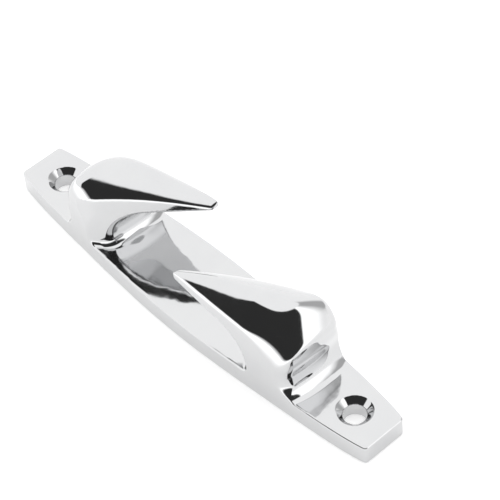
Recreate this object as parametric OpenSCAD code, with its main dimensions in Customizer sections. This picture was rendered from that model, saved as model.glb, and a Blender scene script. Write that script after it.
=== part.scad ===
// Straight bow chock (Skene pattern) with two opposed horns.
// Frame: origin at the centre of the underside, X along the length,
// Y across the deck edge, Z up. The chock looks the same after half a
// turn about Z. All sizes in millimetres.

/* [Base] */
// Overall length of the base casting
base_len = 152; // [140:1:165]
// Widest point of the base, at mid length
mid_width = 27.6; // [26:0.2:30]
// Width across each square end
end_width = 15.1; // [14:0.1:18]
// Thickness of the feet and height of the channel lips
base_t = 6.9; // [6:0.1:8]
// Corner rounding of the square ends, seen from above
corner_r = 0.8; // [0.5:0.1:2.5]

/* [Fastener holes] */
// Distance between the two fastener holes
hole_spacing = 128; // [124:0.5:130]
// Diameter of each through hole
hole_d = 7; // [5.5:0.1:7.5]
// Rim diameter of the countersink
sink_d = 11; // [9:0.1:12]
// Depth of the countersink, 90 degree cone
sink_depth = 2; // [1:0.1:2.5]

/* [Horns] */
// Direction of the rope slot between the horns, measured from X
slot_angle = 35; // [33:0.5:37]
// Width of the rope slot between the two horn flanks
slot_width = 25.3; // [24:0.1:27]
// Height of the horn tips above the deck
tip_z = 28.3; // [26:0.1:30]
// Height of the crown over the thick end of each horn
crown_z = 33.6; // [32:0.1:35]
// Position of the throat wall, from the centre
throat_x = 34; // [33:0.1:36]
// Radius of the arch where the throat turns under the horn
arch_r = 10; // [8:0.5:12]
// Position of the outer face of the horn root, from the centre
root_x = 47.8; // [46:0.1:49]

/* [Fillets] */
// Reach of the outer root fillet along the foot
foot_fillet = 5; // [3:0.1:6]
// Height of the outer root fillet up the horn
foot_rise = 7; // [5:0.1:8]
// Radius of the fillet between throat wall and channel floor
throat_fillet = 3.8; // [3:0.1:5]
// Height of the joint face between base and horns
joint_z = 9; // [8.4:0.1:9.6]

/* [Hidden] */
hl = base_len / 2;
// direction cosines of the oblique lines that the crown follows
cu = 0.783;
cv = 0.622;

// ---- outline of the base, seen from above ----
// half width: full at mid length, drawn in smoothly towards the ends
function fall(t) = 1.549 * pow(t, 2) - 1.519 * pow(t, 4) + 0.97 * pow(t, 6);
function half_w(x) = mid_width / 2 - (mid_width - end_width) / 2 * fall(min(1, abs(x) / hl));
// the same with the end corners rounded
function edge_y(x) =
    let (d = abs(x) - (hl - corner_r))
    half_w(x) - (d > 0 ? corner_r - sqrt(max(0, corner_r * corner_r - d * d)) : 0);
// stations along the length, closer together at the rounded corners
function base_x() = concat(
    [for (i = [0:4]) -hl + corner_r * (1 - cos(i * 90 / 4))],
    [for (i = [1:47]) -(hl - corner_r) + i * 2 * (hl - corner_r) / 48],
    [for (i = [4:-1:0]) hl - corner_r * (1 - cos(i * 90 / 4))]);

module outline() {
    xs = base_x();
    n = len(xs);
    polygon(concat([for (i = [0:n - 1]) [xs[i], -edge_y(xs[i])]],
                   [for (i = [n - 1:-1:0]) [xs[i], edge_y(xs[i])]]));
}

// ---- closed skin over a row of rings with equal point counts ----
// each end is closed by a fan around the middle of its ring
function middle(r) = [for (k = [0:2]) (min([for (p = r) p[k]]) + max([for (p = r) p[k]])) / 2];
module skin(rings) {
    m = len(rings[0]);
    n = len(rings);
    pts = concat([for (r = rings) for (p = r) p], [middle(rings[0]), middle(rings[n - 1])]);
    sides = [for (i = [0:n - 2]) for (j = [0:m - 1])
        let (a = i * m + j, b = i * m + (j + 1) % m, c = (i + 1) * m + (j + 1) % m, d = (i + 1) * m + j)
        each [[a, b, c], [a, c, d]]];
    first = [for (j = [0:m - 1]) [(j + 1) % m, j, n * m]];
    last = [for (j = [0:m - 1]) [(n - 1) * m + j, (n - 1) * m + (j + 1) % m, n * m + 1]];
    polyhedron(points = pts, faces = concat(sides, first, last), convexity = 6);
}

// ---- shape of one horn, the one whose root is at +X ----
// height of the underside along the horn, then down the throat wall
under_slope = 0.27;
arch_cx = throat_x - arch_r;
arch_cz = tip_z - 0.3 - under_slope * (arch_cx - 6) - arch_r * sqrt(1 + under_slope * under_slope);
arch_x0 = arch_cx + arch_r * under_slope / sqrt(1 + under_slope * under_slope);
function under_z(x) =
    x < arch_x0 ? tip_z - 0.3 - under_slope * (x - 6)
    : x < throat_x ? max(joint_z, arch_cz + sqrt(max(0, arch_r * arch_r - pow(x - arch_cx, 2))))
    : joint_z;
// flank of the horn along the slot, a straight line in plan
flank_c = -slot_width / 2 / cos(slot_angle);
function flank_y(x) = tan(slot_angle) * x + flank_c;
// far side of the horn: the slot flank, then flush with the base
far_corner = 1.5;
function far_y(x) =
    let (d = x - (root_x - far_corner))
    min(flank_y(x), half_w(x)) - (d > 0 ? far_corner - sqrt(max(0, far_corner * far_corner - d * d)) : 0);
function near_y(x) = -half_w(x);

// crown: two long slopes, steep at their creases and flatter above, that meet in a soft ridge,
// a third slope over the far wall of the thick end, and a rounded end
function ease(t) = let (k = min(1, max(0, t))) k * k * (3 - 2 * k);
function tanh_of(t) = 1 - 2 / (exp(2 * t) + 1);
function softened(t, w) = w * ln(1 + exp(t / w));
function near_slope(q) = 35.17 + 0.879 * (q - 13.8) - 0.0686 * pow(softened(q - 13.3, 2.9), 1.9);
function far_slope(q) = 11.26 + 0.27 * (q - 2) + 0.0045 * pow(q - 2, 2);
// height where g * u + c * u * u uses up a, counted from z0
function rise(a, g, c) = 2 * a / (g + sqrt(max(0.02, g * g + 4 * c * a)));
function slope_z(a, g, c, z1) = 27 + a / g <= z1 ? 27 + a / g : z1 + rise(a - g * (z1 - 27), g, c);
function soft_min(a, b, k) = (a + b) / 2 - sqrt(pow((a - b) / 2, 2) + k * k);
function wing_z(x, y) =
    let (a = half_w(x) + 2.0 - 0.05 * pow(max(x - 35.5, 0), 2) - y)
    24.0 + (a > 0 ? rise(a, 0.4, 0.06) : 1.8 * a);
end_r = 3.0;
function end_drop(x) =
    let (d = min(end_r, max(0, root_x - x))) end_r - sqrt(max(0, end_r * end_r - pow(end_r - d, 2)));
function crown(x, y) =
    let (q = cv * x + cu * y, s = cu * x - cv * y, t = ease((x - 18) / 22),
         h = 8.6 * tanh_of((max(x, 4) + 1) / 28),
         z1 = 28.9 - 0.063 * x + 0.26 * h,
         a = slope_z(near_slope(q) - s + 0.1, 1.012, (0.59 - 0.59 * t) / h, z1),
         b = slope_z(s - far_slope(q) + 0.1, 0.892, (0.91 + 0.26 * t) / h, z1),
         k = 0.2 + 0.9 * tanh_of(max(x - 4, 0) / 15))
    soft_min(soft_min(a, b, k), wing_z(x, y), 0.4) - end_drop(x) + (crown_z - 33.6);
// outer fillet: how high it stands at a distance d out from the root face
function fillet_h(d) = foot_rise * (1 - sqrt(max(0, 1 - pow(1 - min(1, d / foot_fillet), 2))));
// how far the fillet reaches at a height h above the foot
function fillet_d(h, reach, rise) = reach * (1 - sqrt(max(0, 1 - pow(1 - min(1, h / rise), 2))));

// one ring across the horn: underside, near wall, crown, far wall
ring_n = 22;
function ring(x, top_cap) =
    let (y0 = near_y(x), y1 = far_y(x), zu = under_z(x))
    concat(
        [for (i = [0:4]) [x, y1 + (y0 - y1) * i / 4, zu]],
        [for (i = [0:ring_n])
            let (y = y0 + (y1 - y0) * i / ring_n)
            [x, y, max(zu + 0.3, min(top_cap, crown(x, y)))]]);

function horn_x() = concat(
    [for (i = [0:8]) 6.2 + i * 1.6],
    [for (i = [1:6]) 19 + i * 1.5],
    [for (i = [1:12]) 28 + (throat_x - 28) * sin(i * 90 / 12)],
    [for (i = [1:12]) throat_x + (root_x - throat_x) * sin(i * 90 / 12)]);

module horn() {
    fd = fillet_d(joint_z - base_t, foot_fillet, foot_rise);
    tip = [for (k = [0, 1, 2])
        let (f = [0.35, 0.72, 0.92][k], x = [5.1, 5.35, 5.75][k], c = [0, -12.6, tip_z])
        [for (p = ring(6.2, 1000)) [x, c[1] + (p[1] - c[1]) * f, c[2] + (p[2] - c[2]) * f]]];
    body = [for (x = horn_x()) ring(x, 1000)];
    foot = [for (i = [1:5]) ring(root_x + fd * i / 5, base_t + fillet_h(fd * i / 5))];
    skin(concat(tip, body, foot));
}

// ---- raised seat that carries a horn: stub with both fillets ----
module seat() {
    levels = 6;
    skin([for (k = [levels:-1:0])
        let (h = (joint_z - base_t) * k / levels,
             di = fillet_d(h, throat_fillet, throat_fillet) - fillet_d(joint_z - base_t, throat_fillet, throat_fillet),
             dx = fillet_d(h, foot_fillet, foot_rise),
             x0 = throat_x - di, x1 = root_x + dx, z = k == 0 ? base_t - 0.5 : base_t + h)
        concat(
            [for (i = [0:16]) let (x = x0 + (x1 - x0) * i / 16) [x, near_y(x), z]],
            [for (i = [16:-1:0]) let (x = x0 + (x1 - x0) * i / 16)
                [x, min(half_w(x), flank_y(x) + 0.3 * di / cos(slot_angle)), z]])]);
}

module screw_hole(x) {
    translate([x, 0, -1]) cylinder(d = hole_d, h = base_t + 2, $fn = 64);
    translate([x, 0, base_t - sink_depth])
        cylinder(d1 = hole_d, d2 = sink_d + (sink_d - hole_d) / sink_depth * 0.5, h = sink_depth + 0.5, $fn = 64);
}

module base() {
    color("gainsboro")
    difference() {
        union() {
            linear_extrude(height = base_t) outline();
            seat();
            rotate([0, 0, 180]) seat();
        }
        for (s = [-1, 1]) screw_hole(s * hole_spacing / 2);
    }
}

module aft_horn() {
    color("silver") horn();
}

module forward_horn() {
    color("silver") rotate([0, 0, 180]) horn();
}

base();
forward_horn();
aft_horn();
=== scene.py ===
"""Looks for the straight bow chock: polished cast stainless body with two opposed horns.

The CAD frame gives the place and the size. The surfaces are made here from one smooth
implicit solid in millimetres, meshed finely, and cut at the joint plane into the three pieces
that the CAD names. Everything is in the CAD frame: origin at the centre of the underside,
X along the length, Z up.
"""
import math

import bmesh
import bpy
import numpy as np
from mathutils import Matrix, Vector


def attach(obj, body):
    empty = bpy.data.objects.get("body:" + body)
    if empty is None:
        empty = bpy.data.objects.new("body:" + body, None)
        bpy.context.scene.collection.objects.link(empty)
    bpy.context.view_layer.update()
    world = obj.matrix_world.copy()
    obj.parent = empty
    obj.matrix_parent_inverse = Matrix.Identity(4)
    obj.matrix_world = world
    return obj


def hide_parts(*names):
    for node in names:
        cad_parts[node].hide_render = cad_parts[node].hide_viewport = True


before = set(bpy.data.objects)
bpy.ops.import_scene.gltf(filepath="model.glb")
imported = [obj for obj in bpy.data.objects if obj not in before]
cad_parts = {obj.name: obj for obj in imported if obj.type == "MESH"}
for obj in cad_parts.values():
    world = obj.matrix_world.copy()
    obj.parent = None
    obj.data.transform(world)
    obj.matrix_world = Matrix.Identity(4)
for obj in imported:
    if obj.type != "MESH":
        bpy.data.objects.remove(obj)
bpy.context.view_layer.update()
scene = bpy.context.scene

# ------------------------------------------------------------------ shape, in mm
HALF_LEN = 76.0          # half the overall length
W_MID, W_END = 13.82, 7.55   # half widths at mid length and at the square ends
BASE_T = 6.9             # height of the feet and of the channel floor
SLOT = math.radians(35.0)    # direction of the rope slot in plan
FLANK_C = -12.15 / math.cos(SLOT)
CU, CV = 0.783, 0.622    # direction of the ridge line in plan
JOINT_Z = 9.0            # plane where the horns meet the base
HOLE_X, HOLE_R, SINK_R, SINK_D = 64.0, 3.5, 5.5, 2.0
CELL = 0.4               # mesh cell


def fall(t):
    return 1.549 * t**2 - 1.519 * t**4 + 0.97 * t**6


def half_w(x):
    return W_MID - (W_MID - W_END) * fall(np.minimum(1.0, np.abs(x) / HALF_LEN))


def half_w_slope(x):
    t = np.minimum(1.0, np.abs(x) / HALF_LEN)
    return -(W_MID - W_END) * (3.098 * t - 6.076 * t**3 + 5.82 * t**5) / HALF_LEN * np.sign(x)


def meet(a, b, r):
    """Intersection of two solids with a convex edge of radius r."""
    return np.where((a > -r) & (b > -r), -r + np.hypot(np.maximum(a + r, 0), np.maximum(b + r, 0)), np.maximum(a, b))


def blend_max(a, b, k):
    """Intersection with a soft edge, smooth in curvature over |a - b| < k."""
    h = np.maximum(k - np.abs(a - b), 0) / k
    return np.maximum(a, b) + h * h * h * k / 6


def step(x, a, b):
    t = np.clip((x - a) / (b - a), 0, 1)
    return t * t * (3 - 2 * t)


def outline(x, y):
    return (np.abs(y) - half_w(x)) / np.sqrt(1 + half_w_slope(x) ** 2)


def near_slope(q):
    u = 2.9 * np.logaddexp(0, (q - 13.3) / 2.9)
    return 35.17 + 0.879 * (q - 13.8) - 0.0686 * u ** 1.9


def far_slope(q):
    return 11.26 + 0.27 * (q - 2) + 0.0045 * (q - 2) ** 2


def horn(x, y, z):
    """One horn, its root at +X, before the outline walls of the base cut it.

    Two long slopes, steep at their creases and flatter above, meet in a soft ridge. A third
    slope, the wing, stands on the far side wall of the thick end and turns with its corner,
    and a bulged wall closes the end.
    """
    q = CV * x + CU * y
    s = CU * x - CV * y
    t = step(x, 18, 40)
    h = 8.6 * np.tanh((np.maximum(x, 4) + 1) / 28.0)
    cn = (0.59 - 0.59 * t) / h
    cf = (0.91 + 0.26 * t) / h
    dz = np.maximum(0, z - (28.9 - 0.063 * x) - 0.26 * h)
    near = (s - near_slope(q) - 0.1 + 1.012 * (z - 27) + cn * dz * dz) / np.sqrt(1 + (1.012 + 2 * cn * dz) ** 2)
    far = (far_slope(q) - 0.1 + 0.892 * (z - 27) + cf * dz * dz - s) / np.sqrt(1 + (0.892 + 2 * cf * dz) ** 2)
    crown = blend_max(near, far, 0.6 + 5.2 * np.tanh(np.maximum(x - 4, 0) / 15.0))
    dw = np.maximum(0, z - 25.0)
    wing = y - half_w(x) - 2.6 + 0.02 * np.maximum(x - 38.5, 0) ** 2 * step(z, 15, 27)
    wing = (wing + 0.4 * dw + 0.1 * dw * dw) / np.sqrt(1 + (0.4 + 0.2 * dw) ** 2)
    root = x - (46.8 + 0.9 * (1 - ((y - 0.0) / 11.0) ** 2) + 0.8 * step(z, 13, 20))
    side = blend_max(wing, root, np.maximum(0.5, 2.0 + 3.0 * step(z, 19.2, 27.2)))
    bulb = blend_max(crown, side, 1.3 - 0.1 * step(x, 34, 44))
    flank = (y - math.tan(SLOT) * x - FLANK_C) * math.cos(SLOT) + 0.0 * (z - 18) + -0.0008 * (z - 18) ** 2
    wall = 32.9 - 1.17 * np.exp(-(((y - -3.1) / 10.5) ** 2))
    throat = meet(x - wall, (z - 27.44 + 0.27 * (x - 6)) / 1.036, 9.7)
    body = meet(bulb, flank, 0.4)
    body = meet(body, 5.2 - x, 0.8)
    return meet(body, -throat, 1.2)


def chock(x, y, z):
    """Signed field of the whole chock, negative inside."""
    a = np.where(x >= 0, 1.0, -1.0)
    X, Y = x * a, y * a
    c = horn(X, Y, z)
    plate = z - BASE_T
    w = step(X, 38, 44)
    edge = np.clip(np.abs(Y + 1) / 11.0, 0, 1) ** 4
    ra = 3.8 + 1.2 * w - 2.0 * edge * (1 - w) - 1.5 * edge * w
    rb = 3.8 + 3.2 * w - 2.0 * edge * (1 - w)
    u = np.maximum(1 - c / ra, 0)
    v = np.maximum(1 - plate / rb, 0)
    both = np.where((u > 0) & (v > 0), (1 - np.hypot(u, v)) * np.minimum(ra, rb), np.minimum(c, plate))
    both = np.minimum(both, np.minimum(c, plate))
    walls = meet(outline(x, y), np.abs(x) - HALF_LEN, 1.0)
    # edge radius: small along the channel, growing towards the thick end of each horn
    r = 0.55 + 2.2 * step(z, 14, 22) * step(X, 6, 20) * (Y > 0)
    r = r + 3.0 * step(X, 32.0, 46.0) * step(z, 7.5, 11) * step(-Y, 0, 4)
    f = meet(both, walls, r)
    f = meet(f, -z, 0.3)
    r = np.hypot(np.abs(x) - HOLE_X, y)
    hole = np.minimum(r - HOLE_R, (r - HOLE_R - np.minimum(z - (BASE_T - SINK_D), 3.0)) * 0.7071)
    return meet(f, -hole, 0.25)


def slope(P, e=0.02):
    g = np.zeros_like(P)
    for i in range(3):
        d = np.zeros(3)
        d[i] = e
        A, B = P + d, P - d
        g[:, i] = (chock(A[:, 0], A[:, 1], A[:, 2]) - chock(B[:, 0], B[:, 1], B[:, 2])) / (2 * e)
    return g


def surface_net(lo, hi, h, rounds=4):
    """Quads over the zero surface, one vertex a cell, pulled onto the surface by Newton steps."""
    axes = [np.arange(lo[i], hi[i] + h, h) for i in range(3)]
    n = [len(a) for a in axes]
    V = np.empty(n, np.float64)
    Y, Z = np.meshgrid(axes[1], axes[2], indexing="ij")
    for i, x in enumerate(axes[0]):
        V[i] = chock(np.full_like(Y, x), Y, Z)
    inside = V < 0
    corner = np.zeros([k - 1 for k in n], np.int8)
    for dx in (0, 1):
        for dy in (0, 1):
            for dz in (0, 1):
                corner += inside[dx:n[0] - 1 + dx, dy:n[1] - 1 + dy, dz:n[2] - 1 + dz]
    live = (corner > 0) & (corner < 8)
    index = -np.ones(live.shape, np.int64)
    cells = np.argwhere(live)
    index[live] = np.arange(len(cells))
    total = np.zeros((len(cells), 3))
    count = np.zeros(len(cells))
    steps = np.eye(3, dtype=int)
    for ax in range(3):
        o1, o2 = [k for k in range(3) if k != ax]
        for b in (0, 1):
            for c in (0, 1):
                p = cells + b * steps[o1] + c * steps[o2]
                q = p + steps[ax]
                v0 = V[p[:, 0], p[:, 1], p[:, 2]]
                v1 = V[q[:, 0], q[:, 1], q[:, 2]]
                cross = (v0 < 0) != (v1 < 0)
                t = np.where(cross, v0 / np.where(cross, v0 - v1, 1), 0)
                pt = p + t[:, None] * steps[ax]
                total[cross] += pt[cross]
                count[cross] += 1
    P = np.array(lo) + h * total / count[:, None]
    centre = np.array(lo) + h * (cells + 0.5)
    for _ in range(rounds):
        g = slope(P)
        f = chock(P[:, 0], P[:, 1], P[:, 2])
        P = P - (f / np.maximum(1e-6, (g * g).sum(1)))[:, None] * g
        P = np.clip(P, centre - 0.75 * h, centre + 0.75 * h)
    quads = []
    for ax in range(3):
        o1, o2 = (ax + 1) % 3, (ax + 2) % 3
        a = inside.take(range(0, n[ax] - 1), ax)
        b = inside.take(range(1, n[ax]), ax)
        E = np.argwhere(a != b)
        E = E[(E[:, o1] > 0) & (E[:, o2] > 0)]
        E = E[(E[:, o1] < n[o1] - 1) & (E[:, o2] < n[o2] - 1)]
        out = inside[E[:, 0], E[:, 1], E[:, 2]]
        k00 = E - steps[o1] - steps[o2]
        k10 = E - steps[o2]
        k11 = E
        k01 = E - steps[o1]
        ids = [index[k[:, 0], k[:, 1], k[:, 2]] for k in (k00, k10, k11, k01)]
        Q = np.stack(ids, 1)
        Q[~out] = Q[~out][:, ::-1]
        quads.append(Q)
    return P, np.concatenate(quads)


points, quads = surface_net((-77.2, -15.0, -1.2), (77.2, 15.0, 36.4), CELL)


# ------------------------------------------------------------------ materials
def tree(mat):
    mat.use_nodes = True
    nt = mat.node_tree
    nt.nodes.clear()
    return nt


def add(nt, kind, x=0, y=0, **values):
    n = nt.nodes.new(kind)
    n.location = (x, y)
    for k, v in values.items():
        setattr(n, k, v)
    return n


def calc(kind, *values, x=0, y=0):
    n = add(nt, "ShaderNodeMath", x, y, operation=kind)
    for i, v in enumerate(values):
        if isinstance(v, (int, float)):
            n.inputs[i].default_value = v
        else:
            nt.links.new(v, n.inputs[i])
    return n.outputs[0]


def ramp(value, a, b, lo=0.0, hi=1.0, x=0, y=0):
    n = add(nt, "ShaderNodeMapRange", x, y, interpolation_type="SMOOTHSTEP")
    n.inputs["From Min"].default_value = a
    n.inputs["From Max"].default_value = b
    n.inputs["To Min"].default_value = lo
    n.inputs["To Max"].default_value = hi
    nt.links.new(value, n.inputs["Value"])
    return n.outputs[0]


def polished_steel(name, tint, base_rough, scratch_dir, wave):
    """Buffed 316 stainless: faint polishing lines, haze and smears in the roughness."""
    mat = bpy.data.materials.new(name)
    nt = tree(mat)
    out = add(nt, "ShaderNodeOutputMaterial", 900, 0)
    bsdf = add(nt, "ShaderNodeBsdfPrincipled", 600, 0)
    bsdf.inputs["Metallic"].default_value = 1.0
    nt.links.new(bsdf.outputs[0], out.inputs[0])
    geo = add(nt, "ShaderNodeTexCoord", -1300, 0)
    # slow cloud of haze left by the buffing wheel
    haze = add(nt, "ShaderNodeTexNoise", -900, 300)
    haze.inputs["Scale"].default_value = 95.0
    haze.inputs["Detail"].default_value = 4.0
    haze.inputs["Roughness"].default_value = 0.55
    nt.links.new(geo.outputs["Object"], haze.inputs["Vector"])
    # fine drawn lines: noise stretched along one direction
    turn = add(nt, "ShaderNodeMapping", -1100, -60)
    turn.inputs["Rotation"].default_value = scratch_dir
    turn.inputs["Scale"].default_value = (1.0, 42.0, 42.0)
    nt.links.new(geo.outputs["Object"], turn.inputs["Vector"])
    lines = add(nt, "ShaderNodeTexNoise", -900, -60)
    lines.inputs["Scale"].default_value = 60.0
    lines.inputs["Detail"].default_value = 5.0
    lines.inputs["Roughness"].default_value = 0.7
    nt.links.new(turn.outputs[0], lines.inputs["Vector"])
    # small pits of the casting that polishing leaves
    pits = add(nt, "ShaderNodeTexVoronoi", -900, -420)
    pits.inputs["Scale"].default_value = 900.0
    nt.links.new(geo.outputs["Object"], pits.inputs["Vector"])
    pit = add(nt, "ShaderNodeMapRange", -650, -420)
    pit.inputs["From Min"].default_value = 0.0
    pit.inputs["From Max"].default_value = 0.10
    pit.inputs["To Min"].default_value = 0.0
    pit.inputs["To Max"].default_value = 1.0
    nt.links.new(pits.outputs["Distance"], pit.inputs["Value"])
    # roughness
    r1 = add(nt, "ShaderNodeMapRange", -600, 300)
    r1.inputs["From Min"].default_value = 0.30
    r1.inputs["From Max"].default_value = 0.72
    r1.inputs["To Min"].default_value = base_rough
    r1.inputs["To Max"].default_value = base_rough + 0.05
    nt.links.new(haze.outputs["Fac"], r1.inputs["Value"])
    r2 = add(nt, "ShaderNodeMapRange", -600, 60)
    r2.inputs["From Min"].default_value = 0.45
    r2.inputs["From Max"].default_value = 0.75
    r2.inputs["To Min"].default_value = 0.0
    r2.inputs["To Max"].default_value = 0.05
    nt.links.new(lines.outputs["Fac"], r2.inputs["Value"])
    rs = add(nt, "ShaderNodeMath", -380, 220, operation="ADD")
    nt.links.new(r1.outputs[0], rs.inputs[0])
    nt.links.new(r2.outputs[0], rs.inputs[1])
    nt.links.new(rs.outputs[0], bsdf.inputs["Roughness"])
    # colour: neutral steel, a little warmer and cooler in places
    tone = add(nt, "ShaderNodeValToRGB", -300, 520)
    tone.color_ramp.elements[0].position = 0.30
    tone.color_ramp.elements[0].color = (tint[0] * 0.975, tint[1] * 0.975, tint[2] * 0.98, 1)
    tone.color_ramp.elements[1].position = 0.70
    tone.color_ramp.elements[1].color = (tint[0] * 1.01, tint[1] * 1.01, tint[2] * 1.01, 1)
    nt.links.new(haze.outputs["Fac"], tone.inputs["Fac"])
    nt.links.new(tone.outputs[0], bsdf.inputs["Base Color"])
    # long shallow waves left by hand polishing
    waves = add(nt, "ShaderNodeTexNoise", -650, -700)
    waves.inputs["Scale"].default_value = 120.0
    waves.inputs["Detail"].default_value = 2.0
    nt.links.new(geo.outputs["Object"], waves.inputs["Vector"])
    b0 = add(nt, "ShaderNodeBump", -120, -400)
    b0.inputs["Strength"].default_value = 1.0
    b0.inputs["Distance"].default_value = wave
    nt.links.new(waves.outputs["Fac"], b0.inputs["Height"])
    # relief of the lines and pits, a fraction of a micron deep
    b1 = add(nt, "ShaderNodeBump", 100, -200)
    nt.links.new(b0.outputs[0], b1.inputs["Normal"])
    b1.inputs["Strength"].default_value = 0.10
    b1.inputs["Distance"].default_value = 0.000012
    nt.links.new(lines.outputs["Fac"], b1.inputs["Height"])
    b2 = add(nt, "ShaderNodeBump", 320, -200)
    b2.inputs["Strength"].default_value = 0.15
    b2.inputs["Distance"].default_value = 0.000010
    nt.links.new(pit.outputs[0], b2.inputs["Height"])
    nt.links.new(b1.outputs[0], b2.inputs["Normal"])
    nt.links.new(b2.outputs[0], bsdf.inputs["Normal"])
    return mat


steel_base = polished_steel("steel_base", (0.60, 0.603, 0.607), 0.035, (0.0, 0.0, 0.10), 0.00012)
steel_horn = polished_steel("steel_horn", (0.60, 0.603, 0.607), 0.03, (0.25, 0.10, 0.60), 0.00005)


# ------------------------------------------------------------------ pieces
def piece(name, side, mat, node):
    """Cuts the part of the mesh that belongs to one piece and closes it at the joint plane."""
    mesh = bpy.data.meshes.new(name)
    mesh.from_pydata((points * 0.001).tolist(), [], quads.tolist())
    bm = bmesh.new()
    bm.from_mesh(mesh)
    geom = bm.verts[:] + bm.edges[:] + bm.faces[:]
    plane = (0, 0, JOINT_Z * 0.001)
    bmesh.ops.bisect_plane(bm, geom=geom, dist=1e-7, plane_co=plane, plane_no=(0, 0, 1),
                           clear_outer=side == 0, clear_inner=side != 0)
    if side != 0:
        far = [v for v in bm.verts if v.co.x * side < 0]
        bmesh.ops.delete(bm, geom=far, context="VERTS")
    rim = [e for e in bm.edges if e.is_boundary]
    caps = bmesh.ops.holes_fill(bm, edges=rim, sides=0)["faces"]
    for f in caps:
        f.material_index = 1
    bmesh.ops.recalc_face_normals(bm, faces=caps)
    up = 1 if side == 0 else -1
    for f in caps:
        f.normal_update()
        if f.normal.z * up < 0:
            f.normal_flip()
    bm.to_mesh(mesh)
    bm.free()
    mesh.materials.append(mat)
    mesh.materials.append(mat)
    cap = np.zeros(len(mesh.polygons), np.int32)
    mesh.polygons.foreach_get("material_index", cap)
    co = np.zeros(len(mesh.vertices) * 3)
    mesh.vertices.foreach_get("co", co)
    g = slope(co.reshape(-1, 3) * 1000.0)
    g /= np.maximum(1e-9, np.linalg.norm(g, axis=1))[:, None]
    loops = np.zeros(len(mesh.loops), np.int32)
    mesh.loops.foreach_get("vertex_index", loops)
    size = np.zeros(len(mesh.polygons), np.int32)
    mesh.polygons.foreach_get("loop_total", size)
    owner = np.repeat(np.arange(len(size)), size)
    normals = g[loops]
    normals[cap[owner] == 1] = (0, 0, up)
    mesh.polygons.foreach_set("use_smooth", [True] * len(mesh.polygons))
    mesh.normals_split_custom_set(normals.tolist())
    mesh.polygons.foreach_set("material_index", np.zeros(len(size), np.int32))
    mesh.materials.pop(index=1)
    mesh.update()
    ob = bpy.data.objects.new(name, mesh)
    scene.collection.objects.link(ob)
    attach(ob, "root")
    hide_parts(node)
    return ob


piece("chock_base", 0, steel_base, "base")
piece("chock_aft_horn", 1, steel_horn, "aft_horn")
piece("chock_forward_horn", -1, steel_horn, "forward_horn")

# ------------------------------------------------------------------ floor
bm = bmesh.new()
bmesh.ops.create_grid(bm, x_segments=8, y_segments=8, size=3.0)
floor_mesh = bpy.data.meshes.new("floor")
bm.to_mesh(floor_mesh)
bm.free()
floor = bpy.data.objects.new("floor", floor_mesh)
scene.collection.objects.link(floor)
# floor material with a glow (painted light) that carries a painted shade close to the part
floor_glow_mat = bpy.data.materials.new("white_floor_painted_glow")
nt = tree(floor_glow_mat)
out = add(nt, "ShaderNodeOutputMaterial", 600, 0)
mix = add(nt, "ShaderNodeAddShader", 400, 0)
matt = add(nt, "ShaderNodeBsdfDiffuse", 100, 100)
glow = add(nt, "ShaderNodeEmission", 100, -100)
matt.inputs["Color"].default_value = (0.80, 0.80, 0.80, 1)
glow.inputs["Color"].default_value = (1, 1, 1, 1)
# painted light: the floor glows, its glow dimmed close to the part as a painted shade and brighter further in front
# of it
at = add(nt, "ShaderNodeTexCoord", -900, -100)
xyz = add(nt, "ShaderNodeSeparateXYZ", -700, -100)
nt.links.new(at.outputs["Object"], xyz.inputs[0])
off_y = calc("SUBTRACT", calc("MULTIPLY", xyz.outputs[1], -1.0), 0.014)
# glow strength: painted shade near the part, rising to the full painted glow further out
painted_floor_glow = ramp(off_y, 0.012, 0.07, 0.50, 1.05)
nt.links.new(painted_floor_glow, glow.inputs["Strength"])
nt.links.new(matt.outputs[0], mix.inputs[0])
nt.links.new(glow.outputs[0], mix.inputs[1])
nt.links.new(mix.outputs[0], out.inputs[0])
floor_mesh.materials.append(floor_glow_mat)

# ------------------------------------------------------------------ light tent
# A white tent all round, with a dark opening in it on the viewer's side, fixed in the room.
world = bpy.data.worlds.new("tent")
scene.world = world
world.use_nodes = True
nt = world.node_tree
nt.nodes.clear()
out = add(nt, "ShaderNodeOutputWorld", 900, 0)
bg = add(nt, "ShaderNodeBackground", 700, 0)
nt.links.new(bg.outputs[0], out.inputs[0])
co = add(nt, "ShaderNodeTexCoord", -800, 0)


split = add(nt, "ShaderNodeSeparateXYZ", -600, 0)
nt.links.new(co.outputs["Generated"], split.inputs[0])
# heading and height of a direction in the room, in degrees
heading = calc("MULTIPLY", calc("ARCTAN2", split.outputs[1], split.outputs[0], x=-400), 57.29578, x=-300)
height = calc("MULTIPLY", calc("ARCSINE", split.outputs[2], x=-400, y=-200), 57.29578, x=-300, y=-200)
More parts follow.
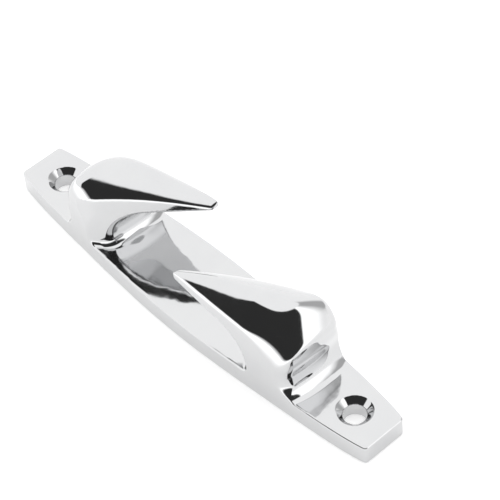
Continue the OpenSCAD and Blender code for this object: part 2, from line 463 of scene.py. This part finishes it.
# the opening: sharp top edge, soft lower edge, both sides leaning with height; past its right
# side comes a bright panel, then a grey one
left = ramp(calc("ADD", heading, calc("MULTIPLY", calc("SUBTRACT", height, 10.0), 0.3)), -112.0, -108.0)
lean = calc("SUBTRACT", heading, calc("MULTIPLY", calc("SUBTRACT", height, 25.0), 0.45))
past = ramp(lean, 6.0, 10.0)
dark = calc("MULTIPLY", left, calc("SUBTRACT", 1.0, past))
panel = calc("MULTIPLY", past, ramp(heading, 28.0, 40.0, 0.35, 0.0))
grey = calc("MULTIPLY", ramp(heading, 34.0, 52.0, 0.0, -0.55), ramp(heading, 75.0, 100.0, 1.0, 0.0))
tone = calc("ADD", 1.0, calc("ADD", panel, grey))
tone = calc("ADD", calc("MULTIPLY", tone, calc("SUBTRACT", 1.0, dark)), calc("MULTIPLY", dark, 0.03))
band = calc("MULTIPLY", ramp(height, 0.0, 12.0), ramp(height, 51.0, 55.0, 1.0, 0.0))
light = calc("ADD", 1.0, calc("MULTIPLY", calc("SUBTRACT", tone, 1.0), band))
bg.inputs["Color"].default_value = (1, 1, 1, 1)
nt.links.new(calc("MULTIPLY", light, 1.36), bg.inputs["Strength"])

# ------------------------------------------------------------------ camera
EYE = Vector((0.339058, -0.250001, 0.499728))
back = Vector((0.51762, -0.41111, 0.75037)).normalized()
right = Vector((-back.y, back.x, 0)).normalized()
up = back.cross(right)
roll = math.radians(-5.71)
r2 = math.cos(roll) * right + math.sin(roll) * up
u2 = -math.sin(roll) * right + math.cos(roll) * up
cam_data = bpy.data.cameras.new("camera")
cam_data.sensor_width = 36.0
cam_data.lens = 158.06
cam_data.clip_start = 0.01
cam_data.clip_end = 20.0
cam = bpy.data.objects.new("camera", cam_data)
cam.matrix_world = Matrix(((r2.x, u2.x, back.x, EYE.x), (r2.y, u2.y, back.y, EYE.y),
                           (r2.z, u2.z, back.z, EYE.z), (0, 0, 0, 1)))
scene.collection.objects.link(cam)
scene.camera = cam
scene.view_settings.view_transform = "Standard"
scene.view_settings.look = "None"
scene.view_settings.exposure = 0.0
scene.view_settings.gamma = 1.0

bpy.context.view_layer.update()
